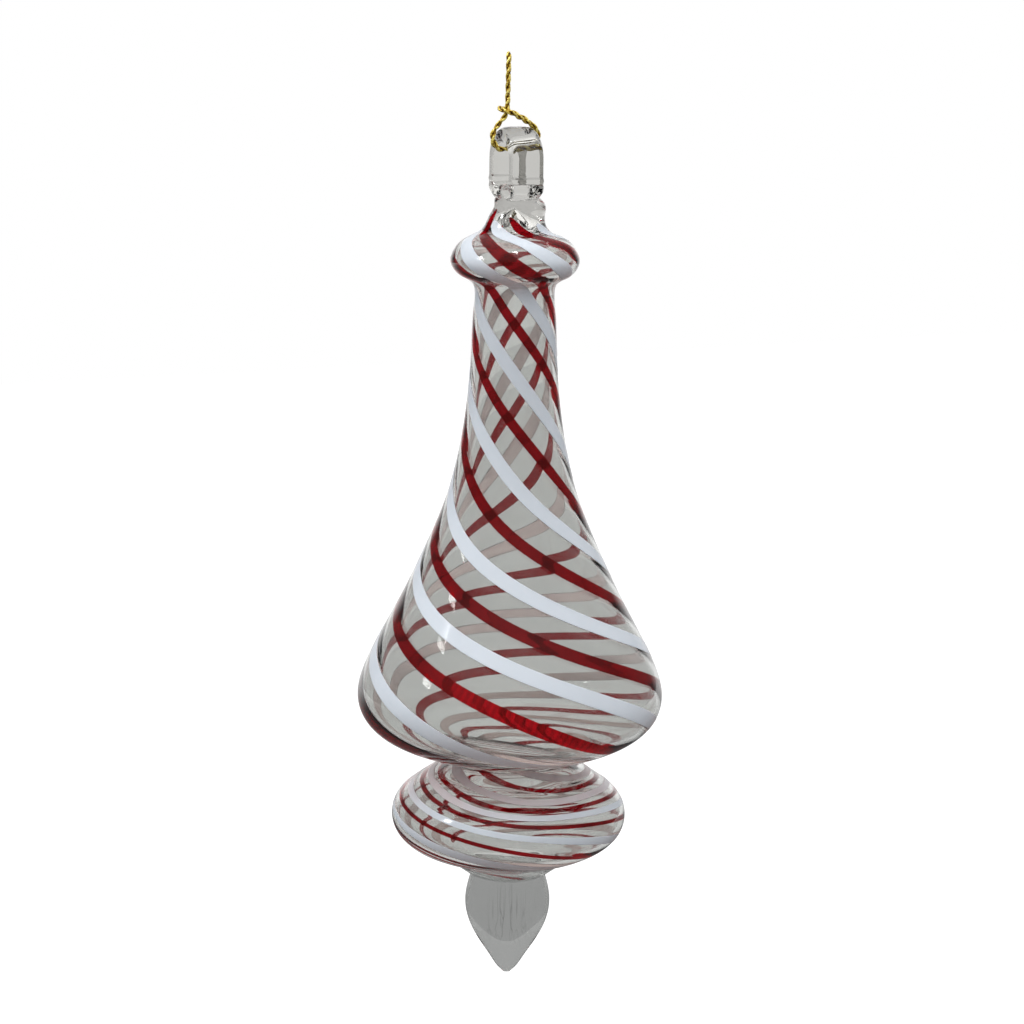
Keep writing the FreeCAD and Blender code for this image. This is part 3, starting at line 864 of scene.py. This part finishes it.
def ring_rings():
    """Rings of the eye: a flat rod bent over in a half turn, down two legs and closed by a flat turn in the gob.

    The section is a superellipse. Where the rod's end was wound round there are three low ridges across the legs, and
    the leg away from the camera's side leans in towards the gob.
    """
    turn = np.radians(np.linspace(0, 180, 49))
    down = np.linspace(0, EYE_LEG, 26)[1:-1]
    low = turn[::2]
    flat_normal = np.stack([EYE_SQUASH * np.cos(low), np.sin(low)], -1)
    flat_normal /= np.linalg.norm(flat_normal, axis=1, keepdims=True)
    top = np.stack([EYE_BEND * np.cos(turn), EYE_BEND * np.sin(turn), np.cos(turn), np.sin(turn)], -1)
    leg_down = np.stack([-EYE_BEND + 0 * down, -down, -1 + 0 * down, 0 * down], -1)
    closing = np.stack([-EYE_BEND * np.cos(low), -EYE_LEG - EYE_SQUASH * EYE_BEND * np.sin(low), -flat_normal[:, 0],
                        -flat_normal[:, 1]], -1)
    leg_up = np.stack([EYE_BEND + 0 * down, down - EYE_LEG, 1 + 0 * down, 0 * down], -1)
    centre = np.concatenate([top, leg_down, closing, leg_up])
    depth = EYE_TOP + EYE_BEND - centre[:, 1]
    ridges = sum(RIDGE_HEIGHT * near(depth, at, RIDGE_REACH) for at in RIDGE_DEPTHS)
    angle = np.radians(np.arange(0, 360, 8))
    out = (EYE_HALF_THICK + ridges)[:, None] * squared(np.sin(angle), EYE_SQUARE)
    y = centre[:, None, 0] + out * centre[:, None, 2]
    lean = EYE_LEAN * np.clip((depth[:, None] - LEAN_FROM) / LEAN_OVER, 0, 1) ** 2
    y = y - np.where(y > 0, lean * np.clip(y / 4, 0, 1), 0)
    z = centre[:, None, 1] + out * centre[:, None, 3]
    x = AXIS_X + (EYE_HALF_WIDE + ridges)[:, None] * squared(np.cos(angle), EYE_SQUARE)
    return np.stack([x, y, GLASS_TOP - EYE_TOP - EYE_BEND + z], axis=-1) * MM


def gob_mesh():
    """Clear gob: from inside the ring down the skin to the cone's end, then back up through the middle of the wall.

    Where it lies in the wall it only joins the two glasses, and there it isn't bulged.
    """
    sunk_by, inside_by, overlap = 0.35, 0.6, 1.2
    skin = SKIN.read(np.linspace(SKIN_START, CONE_END, 16))
    upper = SmoothLine([0, 1, 2.2], [*GOB_TOP, skin[0]]).read(np.linspace(0, 2.2, 10))[:-1]
    below = np.linspace(CONE_END + 0.25, CONE_END + overlap, 6)
    sunk = OUTSIDE.read(below) - outward(below) * sunk_by
    back = np.linspace(CONE_END + 1.0, 1.2, 20)
    inside = OUTSIDE.read(back) - outward(back) * inside_by
    outline = np.concatenate([upper, skin, sunk, inside])
    columns = np.arange(0, 360, 4.0)
    rings = bulged(outline[:, None], columns[None])
    buried = len(upper) + len(skin)
    rings[buried:] = outline[buried:, None]
    top, low = np.array((0.0, GOB_TOP[0][1])), np.array((0.0, TIP_DEPTH + 0.8))
    return closed_mesh("gob", around_axis(rings, columns[None]), around_axis(top, 0.0), around_axis(low, 0.0))


def melted_together(mesh, grain, rounds):
    """One skin round all the closed shapes of a mesh, with its creases softened."""
    holder = placed("melting", mesh)
    remesh = holder.modifiers.new("remesh", "REMESH")
    remesh.mode = "VOXEL"
    remesh.voxel_size = grain
    remesh.use_smooth_shade = True
    soften = holder.modifiers.new("soften", "SMOOTH")
    soften.factor = 0.5
    soften.iterations = rounds
    graph = bpy.context.evaluated_depsgraph_get()
    made = bpy.data.meshes.new_from_object(holder.evaluated_get(graph))
    bpy.data.objects.remove(holder)
    made.polygons.foreach_set("use_smooth", np.ones(len(made.polygons), bool))
    return made


class FINIAL_OT_drop(bpy.types.Operator):
    """Pressed leaf of solid clear glass under the disc"""
    bl_idname = "finial.drop"
    bl_label = "Drop"

    def execute(self, context):
        sizes = context.scene.finial_glass
        length, width, thick = (size / MM for size in (sizes.drop_length, sizes.drop_width, sizes.drop_thick))
        turn = sizes.drop_turn
        leaf = SmoothLine([row[0] for row in LEAF], [row[1:] for row in LEAF])
        share = 1 - (1 - np.linspace(0, 1, 90)) ** 1.3  # closer rings towards the tip
        shape = leaf.read(share)
        shape[-1] = shape[-2] * 0.35  # rounds the tip off
        angle = np.radians(np.arange(0, 360, 4))
        across = shape[:, :1] * width / 2 * squared(np.cos(angle), LEAF_SQUARE)
        through = shape[:, 1:] * thick / 2 * squared(np.sin(angle), LEAF_SQUARE)
        x = AXIS_X + across * math.cos(turn) - through * math.sin(turn)
        y = across * math.sin(turn) + through * math.cos(turn)
        z = GLASS_TOP - SEAT_DEPTH - share[:, None] * length + 0 * x
        rings = np.stack([x, y, z], axis=-1)
        seat = rings[0].mean(axis=0)
        rings = np.concatenate([seat + (rings[:1] - seat) * 0.985, rings])
        melted = np.zeros(rings.shape[:2])
        melted[0] = 1  # flat root, melted to the seat
        down = np.r_[0, share][:, None]
        streaky = near(np.r_[across[:1], across], 0, STREAK_WIDE) * near(down, STREAK_PLACE, STREAK_REACH, 4)
        marks = {"melted": np.r_[melted.ravel(), 1, 0], "streaky": np.r_[streaky.ravel(), 0, 0]}
        mesh = closed_mesh("clear_drop", rings * MM, seat * MM, rings[-1].mean(axis=0) * MM, marks=marks)
        glass = clear_glass("clear_drop", sizes.drop_painted_grey, wave_scale=150.0, wave_depth=0.00003, streaks=0.55)
        show("clear_drop", mesh, glass, "clear_glass", "glass_drop")
        return {"FINISHED"}


def aim_camera(stage):
    """Camera on a sphere about the aim point, turned about its view by the roll."""
    target = Vector((AXIS_X * MM, 0, (GLASS_TOP - AIM_DEPTH) * MM))
    level = math.cos(stage.elevation)
    back = Vector((level * math.cos(stage.azimuth), level * math.sin(stage.azimuth), math.sin(stage.elevation)))
    right = Vector((0, 0, 1)).cross(back).normalized()
    up = back.cross(right)
    rolled_right = right * math.cos(stage.roll) + up * math.sin(stage.roll)
    rolled_up = up * math.cos(stage.roll) - right * math.sin(stage.roll)
    camera = bpy.data.cameras.new("view")
    camera.sensor_fit = "HORIZONTAL"
    camera.sensor_width = 36
    camera.lens = 18 / math.tan(stage.view_angle / 2)
    camera.clip_start, camera.clip_end = 0.01, 20
    holder = placed("view", camera)
    turn = Matrix((rolled_right, rolled_up, back)).transposed().to_4x4()
    holder.matrix_world = Matrix.Translation(target + back * stage.distance) @ turn
    bpy.context.scene.camera = holder


def soft_light(name, place, size, power, target):
    """Square area lamp that faces a target."""
    light = bpy.data.lights.new(name, "AREA")
    light.size = size
    light.energy = power
    holder = placed(name, light)
    holder.location = place
    holder.rotation_euler = (Vector(target) - Vector(place)).to_track_quat("-Z", "Y").to_euler()


def kinds_of_ray(bench):
    """Whether a ray comes from the camera, through glass, off a shiny skin and off a dull one, each one or nought."""
    path = bench.add("ShaderNodeLightPath")
    camera, through, glossy, dull = (Reading(bench, path.outputs[name]) for name in (
        "Is Camera Ray", "Is Transmission Ray", "Is Glossy Ray", "Is Diffuse Ray"))
    return camera, through, glossy * (1.0 - through), dull


def along_view(bench, azimuth, place):
    """How far a place or a direction lies along the camera's level line of view, and how high it is."""
    parts = bench.add("ShaderNodeSeparateXYZ", {}, {0: place})
    x, y, z = (Reading(bench, part) for part in parts.outputs)
    return x * -math.cos(azimuth) + y * -math.sin(azimuth), z


def between(bench, value, low, high):
    """Nought up to low, one from high, and smooth in between."""
    return bench.value("ShaderNodeMapRange", {"interpolation_type": "SMOOTHSTEP"},
                       {"Value": value, "From Min": low, "From Max": high})


class FINIAL_OT_stage(bpy.types.Operator):
    """Pale floor, white surroundings, soft lights and the camera"""
    bl_idname = "finial.stage"
    bl_label = "Stage"

    def execute(self, context):
        stage = context.scene.finial_stage
        floor_z = CAD_LOW.z - stage.floor_gap
        mesh = bpy.data.meshes.new("floor")
        half = 1.5
        mesh.from_pydata([(-half, -half, floor_z), (half, -half, floor_z), (half, half, floor_z),
                          (-half, half, floor_z)], [], [(0, 1, 2, 3)])
        floor = placed("floor", mesh)
        material, bench = new_bench("floor_white")
        camera, through, shiny, dull = kinds_of_ray(bench)
        place = bench.add("ShaderNodeTexCoord").outputs["Object"]
        # The floor burns out to white for the camera, and shiny skins reflect only the far part of it
        behind = between(bench, along_view(bench, stage.azimuth, place)[0], 0.25, 1.0)
        paper = bench.add("ShaderNodeBsdfDiffuse", {}, {"Color": (0.1, 0.1, 0.1, 1)})
        glow = bench.add("ShaderNodeEmission", {}, {
            "Color": (1, 1, 1, 1), "Strength": camera * 1.4 + through * 1.12 + shiny * (behind + 0.1)})
        mixed = bench.add("ShaderNodeMixShader", {}, {0: 0.85 - dull * 0.85, 1: paper.outputs[0], 2: glow.outputs[0]})
        bench.finish(mixed.outputs[0])
        mesh.materials.append(material)

        world = bpy.data.worlds.new("white_room")
        world.use_nodes = True
        bench = Bench(world.node_tree)
        camera, through, shiny, dull = kinds_of_ray(bench)
        direction = bench.add("ShaderNodeTexCoord").outputs["Generated"]
        ahead, height = along_view(bench, stage.azimuth, direction)
        overhead = between(bench, height, 0.3, 0.9)
        # Through glass the room is brighter ahead and overhead, a shiny skin reflects its far end, and a dull one is
        # lit mostly from above
        strength = (camera + through * (0.7 + between(bench, ahead, -0.6, 0.3) * 0.5 + overhead * 0.9)
                    + shiny * (0.12 + between(bench, ahead, 0.75, 0.98) + overhead * 0.3)
                    + dull * (0.38 + between(bench, height, -0.05, 0.65) * 1.75))
        sky = bench.add("ShaderNodeBackground", {}, {"Color": (1, 1, 1, 1), "Strength": strength})
        bench.add("ShaderNodeOutputWorld", inputs={"Surface": sky.outputs[0]})
        bpy.context.scene.world = world

        middle = (AXIS_X * MM, 0, (GLASS_TOP - LIT_DEPTH) * MM)
        for lamp in LAMPS:
            soft_light(*lamp, middle)
        aim_camera(stage)
        context.scene.view_settings.view_transform = "Standard"
        return {"FINISHED"}


class FINIAL_PT_panel(bpy.types.Panel):
    """Sizes, colours and building steps of the finial"""
    bl_idname = "FINIAL_PT_panel"
    bl_label = "Finial"
    bl_space_type = "VIEW_3D"
    bl_region_type = "UI"
    bl_category = "Finial"

    def draw(self, context):
        for group in (context.scene.finial_glass, context.scene.finial_cord, context.scene.finial_stage):
            box = self.layout.box()
            for name in group.__annotations__:
                box.prop(group, name)
        for operator in OPERATORS:
            self.layout.operator(operator.bl_idname)


OPERATORS = (FINIAL_OT_cord, FINIAL_OT_body, FINIAL_OT_canes, FINIAL_OT_eye, FINIAL_OT_drop, FINIAL_OT_stage)
CLASSES = (FinialGlass, FinialCord, FinialStage, *OPERATORS, FINIAL_PT_panel)


def register():
    for item in CLASSES:
        bpy.utils.register_class(item)
    bpy.types.Scene.finial_glass = bpy.props.PointerProperty(type=FinialGlass)
    bpy.types.Scene.finial_cord = bpy.props.PointerProperty(type=FinialCord)
    bpy.types.Scene.finial_stage = bpy.props.PointerProperty(type=FinialStage)


def unregister():
    del bpy.types.Scene.finial_stage
    del bpy.types.Scene.finial_cord
    del bpy.types.Scene.finial_glass
    for item in reversed(CLASSES):
        bpy.utils.unregister_class(item)


def main():
    register()
    bpy.ops.finial.cord()
    bpy.ops.finial.body()
    bpy.ops.finial.canes()
    bpy.ops.finial.eye()
    bpy.ops.finial.drop()
    bpy.ops.finial.stage()


if __name__ == "__main__":
    main()
